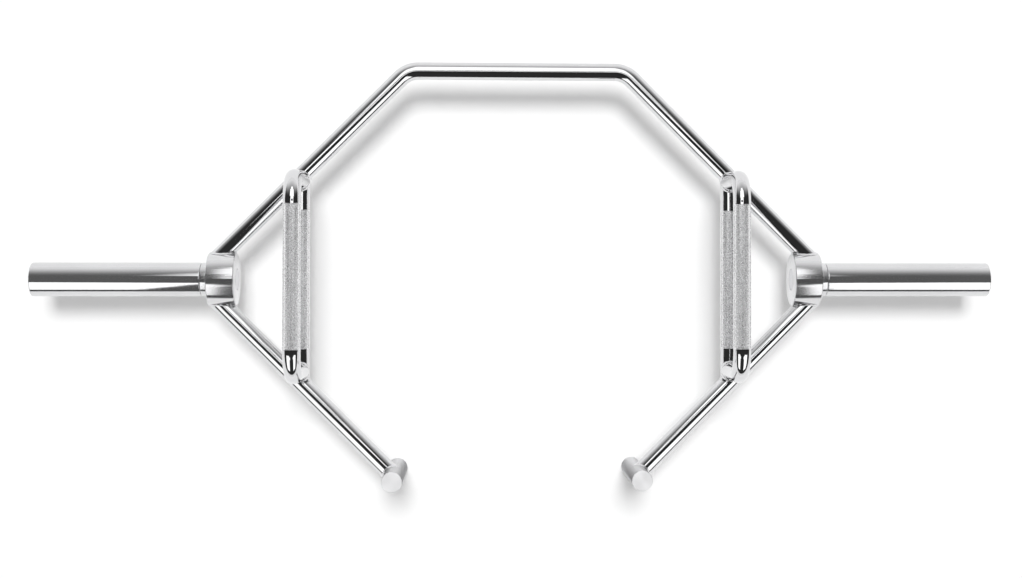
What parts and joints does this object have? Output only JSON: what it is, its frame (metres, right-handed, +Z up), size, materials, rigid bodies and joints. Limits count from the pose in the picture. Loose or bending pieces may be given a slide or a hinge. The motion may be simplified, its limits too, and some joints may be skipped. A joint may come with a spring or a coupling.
{
  "type": "hex trap bar",
  "caption": "Chromed hex weight-lifting bar, open at the rear, with level and raised knurled grips, upright posts as feet and plate sleeves that turn.",
  "frame": {"origin": "middle of the bar's footprint, level with the lower ends of the posts", "axes": "+X along the sleeves to the lifter's right, +Y towards the crossbar, +Z up"},
  "size_m": [1.422, 0.63, 0.2357],
  "materials": {
    "frame_chrome": "bright chrome plate on round bar",
    "hub_chrome": "bright chrome plate over turned faces",
    "post_chrome": "bright chrome plate, ends faced on a lathe",
    "grip_chrome": "bright chrome at the ends, knurled in the middle",
    "sleeve_chrome": "bright chrome plate, smooth",
    "collar_chrome": "bright chrome plate, smooth",
    "cap_chrome": "bright chrome plate, faced on a lathe",
    "weld_chrome": "rippled weld bead under bright chrome plate",
    "spindle_steel": "ground steel, bare",
    "washer_steel": "ground steel, bare",
    "spring_steel": "blackened spring steel",
    "bushing_bronze": "machined bearing bronze"
  },
  "bodies": {
    "frame": {"front_frame_bar": "frame_chrome", "left_rear_arm": "frame_chrome", "right_rear_arm": "frame_chrome", "left_hub": "hub_chrome", "right_hub": "hub_chrome", "left_post": "post_chrome", "right_post": "post_chrome", "left_level_grip": "grip_chrome", "right_level_grip": "grip_chrome", "left_raised_handle": "grip_chrome", "right_raised_handle": "grip_chrome", "left_spindle": "spindle_steel", "right_spindle": "spindle_steel", "left_thrust_collar": "collar_chrome", "right_thrust_collar": "collar_chrome", "left_thrust_washer": "washer_steel", "right_thrust_washer": "washer_steel", "left_retaining_ring": "spring_steel", "right_retaining_ring": "spring_steel", "left_hub_welds": "weld_chrome", "right_hub_welds": "weld_chrome", "left_grip_welds": "weld_chrome", "right_grip_welds": "weld_chrome", "left_handle_welds": "weld_chrome", "right_handle_welds": "weld_chrome", "left_post_weld": "weld_chrome", "right_post_weld": "weld_chrome"},
    "left_sleeve_assembly": {"left_sleeve": "sleeve_chrome", "left_inner_bushing": "bushing_bronze", "left_outer_bushing": "bushing_bronze", "left_sleeve_cap": "cap_chrome"},
    "right_sleeve_assembly": {"right_sleeve": "sleeve_chrome", "right_inner_bushing": "bushing_bronze", "right_outer_bushing": "bushing_bronze", "right_sleeve_cap": "cap_chrome"}
  },
  "joints": [
    {"name": "left_sleeve_spin", "type": "hinge", "parent": "frame", "child": "left_sleeve_assembly", "pos_m": [-0.58765, -0.0085, 0.103], "axis": [1, 0, 0], "continuous": true},
    {"name": "right_sleeve_spin", "type": "hinge", "parent": "frame", "child": "right_sleeve_assembly", "pos_m": [0.58765, -0.0085, 0.103], "axis": [1, 0, 0], "continuous": true}
  ]
}
